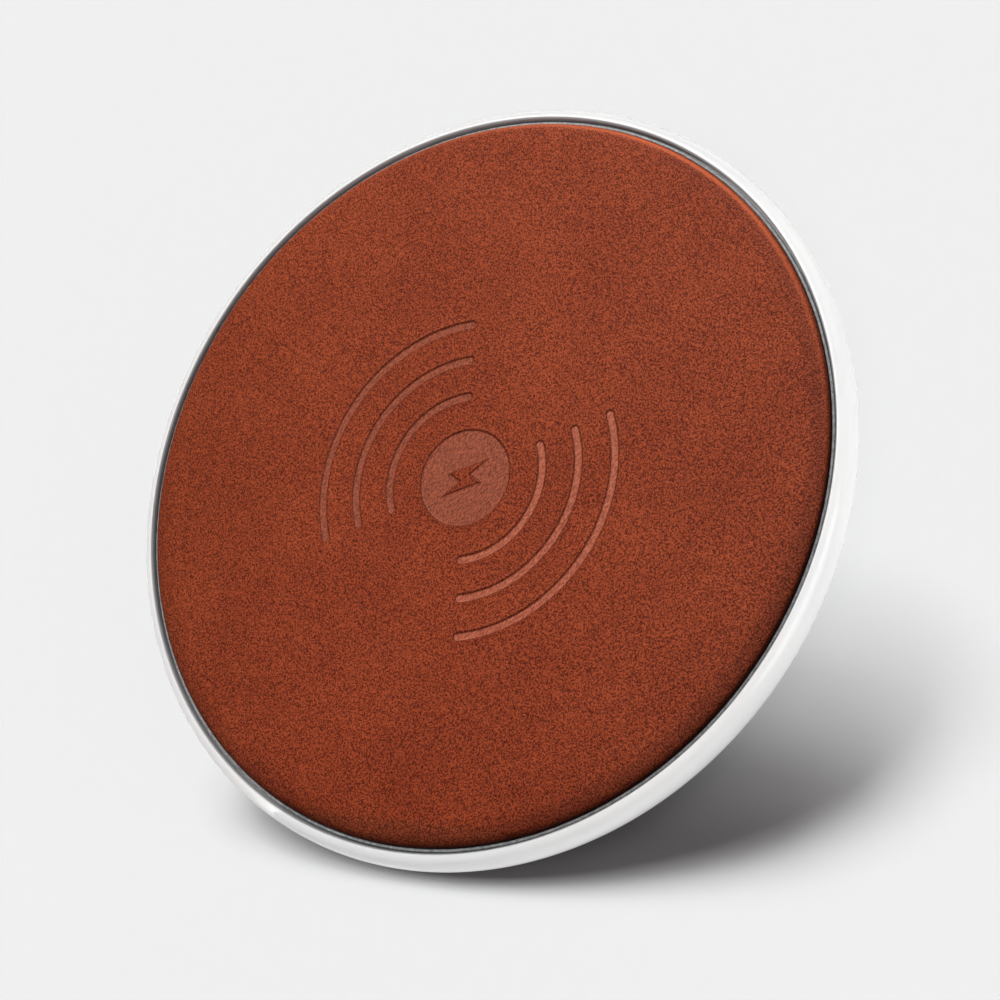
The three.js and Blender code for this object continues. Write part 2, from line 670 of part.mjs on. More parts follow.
const housing = new THREE.Group();
pad.add(housing);
addPiece("leather_top", leatherTop(), FINISH.leather, housing);
addPiece("leather_board", leatherBoard(), FINISH.board, housing);
addPiece("board_tape", disc(TAPE_RADIUS, DECK_TOP_Z + FIT / 2, DECK_TOP_Z + TAPE_THICKNESS),
  FINISH.tape, housing);
addPiece("trim_ring", ring(TRIM_INNER_RADIUS, TRIM_OUTER_RADIUS, DECK_TOP_Z + FIT, TRIM_TOP_Z),
  FINISH.trim, housing);
addPiece("rim_shell", rimShell(), FINISH.glossWhite, housing);
addPiece("base_cover", baseCover(), FINISH.mattWhite, housing);
addPiece("foot_ring", footRing(), FINISH.rubber, housing);
SCREW_ANGLES.forEach((angle, i) => {
  addPiece("case_screw_" + (i + 1), caseScrew(angle), FINISH.steel, housing);
});

const coilStack = new THREE.Group();
pad.add(coilStack);
addPiece("transmit_coil", transmitCoil(), FINISH.copper, coilStack);
addPiece("coil_lead_inner", coilLeadInner(), FINISH.copper, coilStack);
addPiece("coil_lead_outer", coilLeadOuter(), FINISH.copper, coilStack);
addPiece("ferrite_disc", ferriteDisc(), FINISH.ferrite, coilStack);
addPiece("coil_cushion", coilCushion(), FINISH.foam, coilStack);
addPiece("thermistor", thermistor(), FINISH.epoxy, coilStack);
addPiece("thermistor_lead", thermistorLead(), FINISH.ribbon, coilStack);

const electronics = new THREE.Group();
pad.add(electronics);
addPiece("main_board", mainBoard(), FINISH.circuitBoard, electronics);
BOARD_SCREWS.forEach((place, i) => {
  addPiece("board_screw_" + (i + 1), boardScrew(place), FINISH.steel, electronics);
});
addPiece("controller_chip", component(CONTROLLER), FINISH.chip, electronics);
addPiece("voltage_regulator", component(REGULATOR), FINISH.chip, electronics);
addPiece("sense_resistor", component(SENSE_RESISTOR), FINISH.chip, electronics);
addPiece("power_inductor", powerInductor(), FINISH.ferrite, electronics);
const led = [LED.width, LED.depth, LED.height, LED.radius, LIGHT_PIPE.angle];
addPiece("status_led", component(led), FINISH.lamp, electronics);
BRIDGE_MOSFETS.forEach((place, i) => {
  addPiece("bridge_mosfet_" + (i + 1), component(place), FINISH.chip, electronics);
});
RESONANCE_CAPACITORS.forEach((place, i) => {
  addPiece("resonance_capacitor_" + (i + 1), component(place), FINISH.ceramic, electronics);
});
INPUT_CAPACITORS.forEach((place, i) => {
  addPiece("input_capacitor_" + (i + 1), component(place), FINISH.ceramic, electronics);
});
addPiece("light_pipe", lightPipeRod(LIGHT_PIPE.radius, LIGHT_PIPE.inner, LIGHT_PIPE.outer),
  FINISH.clear, electronics);
addPiece("usb_shell", usbShell(), FINISH.steel, electronics);
addPiece("usb_insert", usbInsert(), FINISH.chip, electronics);
for (let i = 0; i < CONTACT.count; i += 1) {
  addPiece("usb_contact_" + (i + 1), usbContact(i), FINISH.gold, electronics);
}

export default pad;
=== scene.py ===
"""Looks for a round wireless charging pad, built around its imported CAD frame.

Metres, +Z up, the origin in the middle of the surface that the pad stands on. The profiles of the
turned pieces are written in millimetres and scaled when their meshes are made.
"""
import json
import math

import bpy
import numpy as np
from mathutils import Matrix, Vector, noise


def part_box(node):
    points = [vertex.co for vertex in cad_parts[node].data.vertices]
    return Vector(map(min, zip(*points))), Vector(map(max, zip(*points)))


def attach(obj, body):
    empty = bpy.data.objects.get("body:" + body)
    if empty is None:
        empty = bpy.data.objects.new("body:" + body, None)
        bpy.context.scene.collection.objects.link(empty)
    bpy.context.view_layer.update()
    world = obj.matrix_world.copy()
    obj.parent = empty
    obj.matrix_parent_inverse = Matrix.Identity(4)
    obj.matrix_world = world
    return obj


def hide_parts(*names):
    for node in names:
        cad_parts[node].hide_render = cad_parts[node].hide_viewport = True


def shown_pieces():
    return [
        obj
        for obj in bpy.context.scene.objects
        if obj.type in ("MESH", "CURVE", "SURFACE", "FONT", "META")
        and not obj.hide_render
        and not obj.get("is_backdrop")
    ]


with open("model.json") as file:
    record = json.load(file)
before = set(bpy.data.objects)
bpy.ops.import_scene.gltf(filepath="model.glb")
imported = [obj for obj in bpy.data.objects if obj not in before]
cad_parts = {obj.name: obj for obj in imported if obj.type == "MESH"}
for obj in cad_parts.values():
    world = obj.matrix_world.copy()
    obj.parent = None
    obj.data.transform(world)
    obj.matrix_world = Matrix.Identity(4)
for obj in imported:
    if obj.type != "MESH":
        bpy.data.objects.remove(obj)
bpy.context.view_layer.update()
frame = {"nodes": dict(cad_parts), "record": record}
MM = 0.001
ROUND_STEPS = 288
HALF_TURN = math.pi


def box_mm(node):
    low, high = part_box(node)
    return [v / MM for v in low], [v / MM for v in high]


# ---- sizes taken from the frame, in millimetres ----
LEATHER_LOW, LEATHER_HIGH = box_mm("leather_top")
LEATHER_RADIUS = LEATHER_HIGH[0]
LEATHER_TOP_Z = LEATHER_HIGH[2]
LEATHER_BOTTOM_Z = LEATHER_LOW[2]
RIM_HIGH = box_mm("rim_shell")[1]
PAD_RADIUS = RIM_HIGH[0]
LIP_TOP_Z = RIM_HIGH[2]
TAPE_GAP = 0.025
DECK_TOP_Z = box_mm("board_tape")[0][2] - TAPE_GAP
TRIM_LOW, TRIM_HIGH = box_mm("trim_ring")
FOOT_HIGH = box_mm("foot_ring")[1]
BASE_LOW = box_mm("base_cover")[0]

# ---- shapes that the frame's boxes don't give, in millimetres ----
WIDEST_Z = 5.47
LIP_CREST_RADIUS = 48.46
LIP_INNER_RADIUS = 48.15
BEAD_INNER_RADIUS = 47.57
BEAD_TOP_Z = TRIM_HIGH[2] - 0.27
UNDERSIDE_RADIUS = 43
SEAM_ANGLE = -50
SEAM_GAP = 0.12
DECK_BOTTOM_Z = 5.8
WALL_INNER_RADIUS = 46.2
LEATHER_EDGE_WIDTH = 1.4
LEATHER_EDGE_DROP = 0.9
LEATHER_SIDE = 0.6
LEATHER_PROUD = 0.05
NEAR_SIDE = -20
ROLL = {"start": 44.4, "drop": 0.1}
GROOVE = {"radius": 45.1, "width": 0.3, "depth": 0.03}
# Painted highlight along the rolled edge: its radius, width, the azimuth it faces and its strength.
EDGE_HIGHLIGHT_PAINT = {"radius": 47.05, "width": 0.26, "side": 91, "strength": 0.56}
LEATHER_THICKNESS = 0.9
FOOT_INNER_RADIUS = 34
FOOT_GROOVE = {"clearance": 0.2, "outer": 40, "top": 1.1}
BASE_FLOOR_Z = 1.7
BASE_WALL = {"gap": 0.2, "top": 2.7, "thickness": 1.1}
MEDALLION_RADIUS = 6.25
ARC_RADII = (10.8, 15.75, 20.65)
ARC_HALF_ANGLE = 53
ARC_HALF_WIDTH = 0.46
PATTERN_CENTRE = (0.2, -1.1)
PATTERN_REACH = (24, 44)
PRESS_DEPTH = 0.12
PRESS_EDGE = 0.13
SWELL = {"place": 0.26, "width": 0.14, "height": 0.04}
PILLOW = {"reach": 0.75, "drop": 0.1}
UNEVENNESS = {"size": 6, "soft": 0.02, "fine": 0.01, "finer_by": 3.1}
# Painted shade on the leather's rim and down its side, strongest on the near side.
RIM_SHADE_PAINT = {"end": 46.2, "strength": 0.34}
SIDE_SHADE_PAINT = {"start": 0.25, "full": 0.85, "everywhere": 0.2, "near_side": 0.75}
PRESSED_COLOUR_EDGE = (0.05, -0.06)
ARC_COLOUR_REACH = 0.3
BOLT_UNIT = 0.76
BOLT_CORNERS = ((1.8, 5), (-3.2, -1), (-0.5, -1), (-1.8, -5), (3.2, 1), (0.5, 1))
PORT = {"width": 8.2, "bottom": 2.85, "top": 5.78, "corner": 0.4}
PIPE = {"angle": 72, "radius": 0.8, "inner": 45.2, "outer": 49.62, "height": 4}
PIPE_HOLE = {"gap": 0.12, "inner": 44.5}
CUT_PAST = 1


# ---- meshes ----
def new_object(name, vertices, faces):
    mesh = bpy.data.meshes.new(name)
    mesh.from_pydata([tuple(v) for v in vertices], [], faces)
    mesh.validate()
    mesh.update()
    obj = bpy.data.objects.new(name, mesh)
    bpy.context.scene.collection.objects.link(obj)
    return obj


def smooth(obj, sharp_degrees=38):
    obj.data.shade_smooth()
    obj.data.set_sharp_from_angle(angle=math.radians(sharp_degrees))
    return obj


def lathe(name, profile, steps=ROUND_STEPS, wobble=None):
    """A closed profile of (radius, z) in millimetres, counter-clockwise, turned about Z."""
    vertices, rows = [], []
    for radius, z in profile:
        if radius < 1e-9:
            rows.append([len(vertices)])
            vertices.append((0, 0, z * MM))
            continue
        rows.append(list(range(len(vertices), len(vertices) + steps)))
        for i in range(steps):
            angle = 2 * HALF_TURN * i / steps
            dr, dz = wobble(radius, z, angle) if wobble else (0, 0)
            x, y = (radius + dr) * math.cos(angle), (radius + dr) * math.sin(angle)
            vertices.append((x * MM, y * MM, (z + dz) * MM))
    faces = []
    for a, b in zip(rows, rows[1:] + rows[:1]):
        for i in range(steps):
            j = (i + 1) % steps
            if len(a) > 1 and len(b) > 1:
                faces.append((a[i], a[j], b[j], b[i]))
            elif len(a) > 1:
                faces.append((a[i], a[j], b[0]))
            elif len(b) > 1:
                faces.append((a[0], b[j], b[i]))
    return new_object(name, vertices, faces)


def arc(centre, across, up, start, end, steps):
    """Points of an ellipse arc in the (radius, z) plane."""
    points = []
    for i in range(steps + 1):
        angle = math.radians(start + (end - start) * i / steps)
        points.append((centre[0] + across * math.cos(angle), centre[1] + up * math.sin(angle)))
    return points


def extruded(name, outline, direction, start, end):
    """A flat outline swept along an axis. outline gives points (across, z), direction an angle."""
    along = Vector((math.cos(direction), math.sin(direction), 0))
    across = Vector((-along.y, along.x, 0))
    vertices = []
    for distance in (start, end):
        for u, z in outline:
            vertices.append((along * distance + across * u + Vector((0, 0, z))) * MM)
    count = len(outline)
    faces = [tuple(range(count - 1, -1, -1)), tuple(range(count, 2 * count))]
    for i in range(count):
        j = (i + 1) % count
        faces.append((i, j, count + j, count + i))
    return new_object(name, vertices, faces)


def rounded_rectangle(width, low, high, corner, steps=6):
    points = []
    for cx, cz, start in (
        (width / 2 - corner, low + corner, -90),
        (width / 2 - corner, high - corner, 0),
        (-width / 2 + corner, high - corner, 90),
        (-width / 2 + corner, low + corner, 180),
    ):
        points.extend(arc((cx, cz), corner, corner, start, start + 90, steps))
    return points


def circle(radius, z, steps=40):
    return arc((0, z), radius, radius, 0, 360 - 360 / steps, steps - 1)


def baked(obj):
    """The object with its modifiers applied."""
    depsgraph = bpy.context.evaluated_depsgraph_get()
    mesh = bpy.data.meshes.new_from_object(obj.evaluated_get(depsgraph))
    obj.modifiers.clear()
    obj.data = mesh
    return obj


def cut(obj, cutter):
    boolean = obj.modifiers.new("cut", "BOOLEAN")
    boolean.operation = "DIFFERENCE"
    boolean.object = cutter
    boolean.solver = "EXACT"
    baked(obj)
    bpy.data.objects.remove(cutter)
    return obj


# ---- node materials ----
def srgb(red, green, blue):
    """A colour given in display levels from 0 to 255, as linear RGBA."""
    levels = [c / 255 for c in (red, green, blue)]
    linear = [c / 12.92 if c <= 0.04045 else ((c + 0.055) / 1.055) ** 2.4 for c in levels]
    return (*linear, 1)


class Look:
    """One node material. Texture scales are per millimetre."""

    def __init__(self, name, **sockets):
        self.material = bpy.data.materials.new(name)
        self.material.use_nodes = True
        self.tree = self.material.node_tree
        self.tree.nodes.clear()
        output = self.node("ShaderNodeOutputMaterial")
        self.shader = self.node("ShaderNodeBsdfPrincipled")
        self.tree.links.new(self.shader.outputs[0], output.inputs[0])
        for key, value in sockets.items():
            self.shader.inputs[key.replace("_", " ")].default_value = value
        place = self.node("ShaderNodeTexCoord").outputs["Object"]
        self.place = self.vector("MULTIPLY", place, (1 / MM, 1 / MM, 1 / MM))

    def node(self, kind, **settings):
        made = self.tree.nodes.new(kind)
        for key, value in settings.items():
            setattr(made, key, value)
        return made

    def feed(self, socket, value):
        if isinstance(value, bpy.types.NodeSocket):
            self.tree.links.new(value, socket)
        elif value is not None:
            socket.default_value = value

    def vector(self, operation, a, b):
        made = self.node("ShaderNodeVectorMath", operation=operation)
        self.feed(made.inputs[0], a)
        self.feed(made.inputs[1], b)
        return made.outputs[0]

    def math(self, operation, a, b=None):
        made = self.node("ShaderNodeMath", operation=operation)
        self.feed(made.inputs[0], a)
        self.feed(made.inputs[1], b)
        return made.outputs[0]

    def stretch(self, place, scale, turn=0):
        made = self.node("ShaderNodeMapping")
        self.feed(made.inputs["Vector"], place)
        made.inputs["Scale"].default_value = scale
        made.inputs["Rotation"].default_value = (0, 0, math.radians(turn))
        return made.outputs[0]

    def noise(self, scale, detail=2, roughness=0.5, place=None, colour=False):
        made = self.node("ShaderNodeTexNoise")
        self.feed(made.inputs["Vector"], place or self.place)
        made.inputs["Scale"].default_value = scale
        made.inputs["Detail"].default_value = detail
        made.inputs["Roughness"].default_value = roughness
        return made.outputs["Color" if colour else "Fac"]

    def voronoi(self, scale, feature="F1", randomness=1, place=None):
        made = self.node("ShaderNodeTexVoronoi", feature=feature)
        self.feed(made.inputs["Vector"], place or self.place)
        made.inputs["Scale"].default_value = scale
        made.inputs["Randomness"].default_value = randomness
        return made.outputs["Distance"]

    def warp(self, scale, amount):
        """Coordinates pushed about by a soft noise, up to amount millimetres."""
        colour = self.noise(scale, 2, 0.5, colour=True)
        centred = self.vector("SUBTRACT", colour, (0.5, 0.5, 0.5))
        moved = self.vector("MULTIPLY", centred, (2 * amount, 2 * amount, 2 * amount))
        return self.vector("ADD", self.place, moved)

    def ramp(self, value, low, high, start=0.0, end=1.0):
        """value from low to high mapped to start..end, with soft ends."""
        made = self.node("ShaderNodeMapRange", interpolation_type="SMOOTHSTEP")
        self.feed(made.inputs["Value"], value)
        made.inputs["From Min"].default_value = low
        made.inputs["From Max"].default_value = high
        made.inputs["To Min"].default_value = start
        made.inputs["To Max"].default_value = end
        return made.outputs[0]

    def mix(self, factor, a, b):
        made = self.node("ShaderNodeMix", data_type="RGBA", blend_type="MIX")
        self.feed(made.inputs[0], factor)
        self.feed(made.inputs[6], a)
        self.feed(made.inputs[7], b)
        return made.outputs[2]

    def attribute(self, name):
        return self.node("ShaderNodeAttribute", attribute_name=name).outputs["Fac"]

    def bump(self, height, depth_mm, strength=1):
        made = self.node("ShaderNodeBump")
        made.inputs["Strength"].default_value = strength
        made.inputs["Distance"].default_value = depth_mm * MM
        self.feed(made.inputs["Height"], height)
        return made.outputs[0]

    def finish(self, colour, roughness=None, normal=None):
        for key, value in (
            ("Base Color", colour),
            ("Roughness", roughness),
            ("Normal", normal),
        ):
            if value is not None:
                self.feed(self.shader.inputs[key], value)
        return self.material


# ---- leather ----
LEATHER_PITS = srgb(84, 27, 11), srgb(90, 30, 13)
LEATHER_GRAIN = srgb(160, 70, 37), srgb(170, 77, 42)
# Pressed leather tones: greyer than the rest, partly from the smoother pressed leather and partly as
# painted sheen. The lighter arc tone is a painted reflection, laid only on the arcs on the +X side.
PRESSED_TONE_AND_SHEEN = srgb(173, 94, 68)
PRESSED_ARC_SHEEN = srgb(195, 115, 88)
MEDALLION_FIBRES = srgb(88, 44, 32)
ARC_FIBRES = srgb(124, 56, 38)
# Painted shade: the dark brown laid into the lines round the pressed pattern and onto the leather's
# rim and side.
PAINTED_SHADE_BROWN = srgb(52, 14, 7)
# Painted highlight: the bright orange laid along the far side of the rolled edge.
PAINTED_EDGE_HIGHLIGHT = srgb(214, 104, 60)


def leather_material():
    look = Look("leather_grain", IOR=1.45)
    look.shader.inputs["Specular IOR Level"].default_value = 0.16
    pressed = look.attribute("pressed")
    sheen_arcs = look.attribute("sheen_arcs")
    outline = look.attribute("outline")
    edge = look.attribute("edge")
    place = look.stretch(look.warp(1.3, 0.14), (1, 0.8, 1), turn=12)
    grain = look.ramp(look.noise(5.2, 1, 0.5, place), 0.29, 0.71)
    fine = look.noise(7, 3, 0.6)
    tone = look.ramp(look.noise(0.09, 3, 0.55), 0.3, 0.7)
    colour = look.mix(grain, look.mix(tone, *LEATHER_PITS), look.mix(tone, *LEATHER_GRAIN))
    fibres = look.noise(3.4, 4, 0.75, look.stretch(look.place, (1.6, 0.6, 1), turn=-35))
    # Painted reflection: the arcs on the +X side take the lighter arc tone.
    smooth_tone = look.mix(sheen_arcs, PRESSED_TONE_AND_SHEEN, PRESSED_ARC_SHEEN)
    shaded = look.mix(sheen_arcs, MEDALLION_FIBRES, ARC_FIBRES)
    smooth_tone = look.mix(look.ramp(fibres, 0.40, 0.62, 0.85, 0), smooth_tone, shaded)
    colour = look.mix(look.math("MULTIPLY", pressed, 0.92), colour, smooth_tone)
    # Painted shade: a thin dark line just outside every pressed edge stands for the shade in the
    # crease.
    off_line = look.math("ABSOLUTE", look.math("SUBTRACT", outline, 0.09))
    painted_crease_shade = look.ramp(off_line, 0.04, 0.15, 0.5, 0)
    colour = look.mix(painted_crease_shade, colour, PAINTED_SHADE_BROWN)
    # Painted shade from the 'edge' layer: the rim and side darkened, most on the near side.
    colour = look.mix(edge, colour, PAINTED_SHADE_BROWN)
    # Painted highlight on the far side of the rolled edge.
    colour = look.mix(look.attribute("painted_highlight"), colour, PAINTED_EDGE_HIGHLIGHT)
    relief = look.math("MULTIPLY", grain, look.ramp(pressed, 0, 1, 1, 0.35))
    normal = look.bump(look.math("ADD", relief, look.math("MULTIPLY", fine, 0.25)), 0.05, 1.0)
    roughness = look.math("SUBTRACT", 0.7, look.math("MULTIPLY", grain, 0.16))
    roughness = look.math("SUBTRACT", roughness, look.math("MULTIPLY", pressed, 0.08))
    return look.finish(colour, roughness, normal)


def bolt_distance(x, y):
    """Signed distance to the bolt outline, negative inside it, for arrays of x and y."""
    corners = [(BOLT_UNIT * cx, BOLT_UNIT * cy) for cx, cy in BOLT_CORNERS]
    nearest = np.full(x.shape, 1e9)
    inside = np.zeros(x.shape, bool)
    for (ax, ay), (bx, by) in zip(corners, corners[1:] + corners[:1]):
        ex, ey = bx - ax, by - ay
        t = np.clip(((x - ax) * ex + (y - ay) * ey) / (ex * ex + ey * ey), 0, 1)
        nearest = np.minimum(nearest, np.hypot(x - ax - t * ex, y - ay - t * ey))
        crosses = (ay > y) != (by > y)
        at = ax + (y - ay) * ex / (ey if ey else 1e-9)
        inside ^= crosses & (x < at)
    return np.where(inside, -nearest, nearest)


def arc_distance(x, y):
    """Signed distance to the nearest pressed arc, negative inside it."""
    radius, angle = np.hypot(x, y), np.degrees(np.arctan2(y, x))
    folded = np.abs(np.where(np.abs(angle) > 90, 180 - np.abs(angle), angle))
    best = np.full(x.shape, 1e9)
    end = math.radians(ARC_HALF_ANGLE)
    for r in ARC_RADII:
        tip = np.hypot(np.abs(x) - r * math.cos(end), np.abs(y) - r * math.sin(end))
        distance = np.where(folded <= ARC_HALF_ANGLE, np.abs(radius - r), tip)
        best = np.minimum(best, distance - ARC_HALF_WIDTH)
    return best


def smoothstep(low, high, value):
    t = np.clip((value - low) / (high - low), 0, 1)
    return t * t * (3 - 2 * t)


def leather_rows():
    """Radii of the top's rings, close together where the pattern has edges."""
    margin, fine, coarse = 0.45, 0.06, 0.11
    edge = LEATHER_RADIUS - LEATHER_EDGE_WIDTH
    rows = list(np.arange(coarse, MEDALLION_RADIUS - 0.5, coarse))
    rows += list(np.arange(MEDALLION_RADIUS - margin, MEDALLION_RADIUS + 0.5, coarse / 2))
    previous = rows[-1]
    for r in ARC_RADII:
        start = r - ARC_HALF_WIDTH - margin
        rows += list(np.linspace(previous, start, 9)[1:])
        rows += list(np.arange(start + fine, r + ARC_HALF_WIDTH + margin, fine))
        previous = rows[-1]
    rows += list(np.linspace(previous, edge - 3, 30)[1:])
    rows += list(np.linspace(rows[-1], edge, 16)[1:])
    return rows


def leather_columns():
    """Angles of the top's spokes, close together at the ends of the arcs."""
    ends = [side + sign * ARC_HALF_ANGLE for side in (0, 180) for sign in (-1, 1)]
    near_end, fine, coarse = 4, 0.35, 1.14
    angles, angle = [], -180.0
    while angle < 180 - 0.2:
        angles.append(angle)
        gap = min(abs((angle - end + 180) % 360 - 180) for end in ends)
        angle += fine if gap < near_end else coarse
    return np.radians(np.array(angles))


def pressed_pattern(x, y):
    """Distances to the bolt, to the nearest arc and to the nearest pressed edge of any kind."""
    u, v = x - PATTERN_CENTRE[0], y - PATTERN_CENTRE[1]
    bolt = bolt_distance(u, v)
    medallion = np.maximum(np.hypot(u, v) - MEDALLION_RADIUS, -bolt)
    arc_gap = arc_distance(u, v)
    return bolt, arc_gap, np.minimum(medallion, arc_gap)


def top_heights(x, y, r, z, pattern, near_side):
    """Heights of one ring of the top: pressed pattern, soft groove, roll-off and unevenness."""
    bolt, _, near = pattern
    sink = smoothstep(PRESS_EDGE, -PRESS_EDGE, near)
    swell = np.exp(-(((near - SWELL["place"]) / SWELL["width"]) ** 2)) * (near > 0)
    pillow = np.clip(1 + bolt / PILLOW["reach"], 0, 1) * (bolt < 0)
    groove = np.exp(-(((r - GROOVE["radius"]) / GROOVE["width"]) ** 2))
    edge = LEATHER_RADIUS - LEATHER_EDGE_WIDTH
    roll = max(0.0, (min(r, edge) - ROLL["start"]) / (edge - ROLL["start"]))
    heights = z - PRESS_DEPTH * sink
    heights += SWELL["height"] * swell * (r < PATTERN_REACH[0])
    heights -= PILLOW["drop"] * pillow**2 * (1 - sink)
    heights -= GROOVE["depth"] * groove * near_side
    heights -= ROLL["drop"] * roll**2
    for i in range(len(x)):
        p = Vector((x[i] / UNEVENNESS["size"], y[i] / UNEVENNESS["size"], 0.3))
        finer = noise.noise(p * UNEVENNESS["finer_by"])
        heights[i] += UNEVENNESS["soft"] * noise.noise(p) + UNEVENNESS["fine"] * finer
    return np.minimum(heights, LEATHER_TOP_Z + LEATHER_PROUD)


def painted_edge_shade(r, heights, near_side):
    """Painted shade: how dark the leather is painted near its rim and down its side, most on the near
    side.
    """
    start, full = LEATHER_TOP_Z - SIDE_SHADE_PAINT["start"], LEATHER_TOP_Z - SIDE_SHADE_PAINT["full"]
    fall = smoothstep(start, full, heights) * (r > LEATHER_RADIUS / 2)
    outward = smoothstep(ROLL["start"], RIM_SHADE_PAINT["end"], np.full(len(heights), r))
    dim = RIM_SHADE_PAINT["strength"] * outward * near_side
    side = fall * (SIDE_SHADE_PAINT["everywhere"] + SIDE_SHADE_PAINT["near_side"] * near_side)
    return np.maximum(dim, side)


def leather_profile():
    """(radius, z) from the middle of the top round to the underside, and how many are on top."""
    edge = (LEATHER_RADIUS - LEATHER_EDGE_WIDTH, LEATHER_TOP_Z - LEATHER_EDGE_DROP)
    inner = LEATHER_RADIUS - LEATHER_SIDE
    ceiling = LEATHER_TOP_Z - LEATHER_THICKNESS
    top = [(r, LEATHER_TOP_Z) for r in leather_rows()]
    top += arc(edge, LEATHER_EDGE_WIDTH, LEATHER_EDGE_DROP, 90, 0, 14)[1:]
    chamfer_in, chamfer_up = 0.08, 0.12
    under = [
        (LEATHER_RADIUS, LEATHER_BOTTOM_Z + chamfer_up),
        (LEATHER_RADIUS - chamfer_in, LEATHER_BOTTOM_Z),
        (inner, LEATHER_BOTTOM_Z),
        (inner, ceiling),
        (inner / 2, ceiling),
    ]
    return top + under, len(top)


def leather_faces(rings, count):
    """Faces between the rings, closed by a fan to the first and the last vertex."""
    faces = []
    last = 1 + rings * count
    for i in range(count):
        j = (i + 1) % count
        faces.append((0, 1 + i, 1 + j))
        for k in range(rings - 1):
            a, b = 1 + k * count, 1 + (k + 1) * count
            faces.append((a + i, b + i, b + j, a + j))
        end = 1 + (rings - 1) * count
        faces.append((end + j, end + i, last))
    return faces


def leather_cover():
    """The leather with its pressed pattern, rolled edge, side and turned-in underside."""
    columns = leather_columns()
    cos, sin = np.cos(columns), np.sin(columns)
    count = len(columns)
    profile, top_rings = leather_profile()
    near_side = 0.5 + 0.5 * np.cos(columns - math.radians(NEAR_SIDE))
    # How strongly each spoke gets the painted highlight, most towards its azimuth.
    highlight_side = np.clip(np.cos(columns - math.radians(EDGE_HIGHLIGHT_PAINT["side"])), 0, 1) ** 4
    far_off = 9.0
    bolt_at_centre = float(bolt_distance(np.array([0.0]), np.array([0.0]))[0])
    vertices = [(*PATTERN_CENTRE, LEATHER_TOP_Z)]
    layers = {"outline": [-bolt_at_centre], "pressed": [0], "sheen_arcs": [0], "edge": [0], "painted_highlight": [0]}
    for k, (r, z) in enumerate(profile):
        x, y = r * cos, r * sin
        heights = np.full(count, float(z))
        near, sheen_arcs = np.full(count, far_off), np.zeros(count)
        painted_highlight = 0
        if k < top_rings:
            shift = 1 - smoothstep(*PATTERN_REACH, np.full(count, r))
            x, y = x + PATTERN_CENTRE[0] * shift, y + PATTERN_CENTRE[1] * shift
            pattern = pressed_pattern(x, y)
            heights = top_heights(x, y, r, z, pattern, near_side)
            _, arc_gap, near = pattern
            # Only the arcs on the +X side are marked for the painted reflection.
            sheen_arcs = (arc_gap < ARC_COLOUR_REACH) & (x > PATTERN_CENTRE[0])
            # Painted highlight: a narrow bright band at the rolled edge's radius.
            painted_highlight = EDGE_HIGHLIGHT_PAINT["strength"] * math.exp(-(((r - EDGE_HIGHLIGHT_PAINT["radius"]) / EDGE_HIGHLIGHT_PAINT["width"]) ** 2))
        vertices += list(zip(x, y, heights))
        layers["outline"] += list(near)
        layers["pressed"] += list(smoothstep(*PRESSED_COLOUR_EDGE, near))
        layers["sheen_arcs"] += list(sheen_arcs.astype(float))
        # The 'edge' layer holds the painted shade of the leather's rim and side.
        layers["edge"] += list(painted_edge_shade(r, heights, near_side))
        layers["painted_highlight"] += list(painted_highlight * highlight_side)
    middle_z = float(np.mean([v[2] for v in vertices[1 : 1 + count]]))
    vertices[0] = (*PATTERN_CENTRE, middle_z)
    vertices.append((0, 0, LEATHER_TOP_Z - LEATHER_THICKNESS))
    faces = leather_faces(len(profile), count)
    obj = new_object("leather_cover", [Vector(v) * MM for v in vertices], faces)
    for name, values in layers.items():
        values.append(far_off if name == "outline" else 0)
        layer = obj.data.attributes.new(name, "FLOAT", "POINT")
        layer.data.foreach_set("value", np.array(values, np.float32))
    smooth(obj, 60)
    obj.data.materials.append(leather_material())
    return obj


# ---- housing ----
def white_gloss_material():
    look = Look("white_gloss_moulding", IOR=1.5)
    tone = look.ramp(look.noise(0.05, 3), 0.3, 0.7)
    colour = look.mix(tone, srgb(240, 240, 240), srgb(245, 245, 244))
    parts = look.node("ShaderNodeSeparateXYZ")
    look.feed(parts.inputs[0], look.place)
    across = [look.math("MULTIPLY", parts.outputs[k], parts.outputs[k]) for k in (0, 1)]
    radius = look.math("SQRT", look.math("ADD", *across))
    # Painted shade: the lip's inner wall and the gap below it are painted dark grey, in a band that
    # widens a little away from the X axis.
    widening = 0.002
    shift = look.math("MULTIPLY", look.math("ABSOLUTE", parts.outputs[1]), widening)
    radius = look.math("SUBTRACT", radius, shift)
    inside = look.ramp(radius, LIP_INNER_RADIUS + 0.05, LIP_INNER_RADIUS + 0.26, 0.75, 0)
    colour = look.mix(inside, colour, srgb(96, 97, 99))
    smear = look.noise(0.35, 4, 0.65, look.stretch(look.place, (1, 1, 4)))
    roughness = look.ramp(smear, 0.3, 0.75, 0.13, 0.24)
    peel = look.math("ADD", look.noise(1.1, 2), look.math("MULTIPLY", look.noise(9, 2), 0.05))
    return look.finish(colour, roughness, look.bump(peel, 0.006, 0.35))


def white_matt_material():
    look = Look("white_matt_moulding", IOR=1.5)
    tone = look.ramp(look.noise(0.08, 3), 0.3, 0.7)
    colour = look.mix(tone, srgb(226, 226, 224), srgb(234, 234, 232))
    grit = look.noise(5, 3, 0.7)
    colour = look.mix(look.ramp(grit, 0.6, 0.8, 0, 0.12), colour, srgb(196, 196, 194))
    roughness = look.ramp(look.noise(1.3, 3), 0.3, 0.7, 0.42, 0.58)
    return look.finish(colour, roughness, look.bump(grit, 0.02, 0.8))


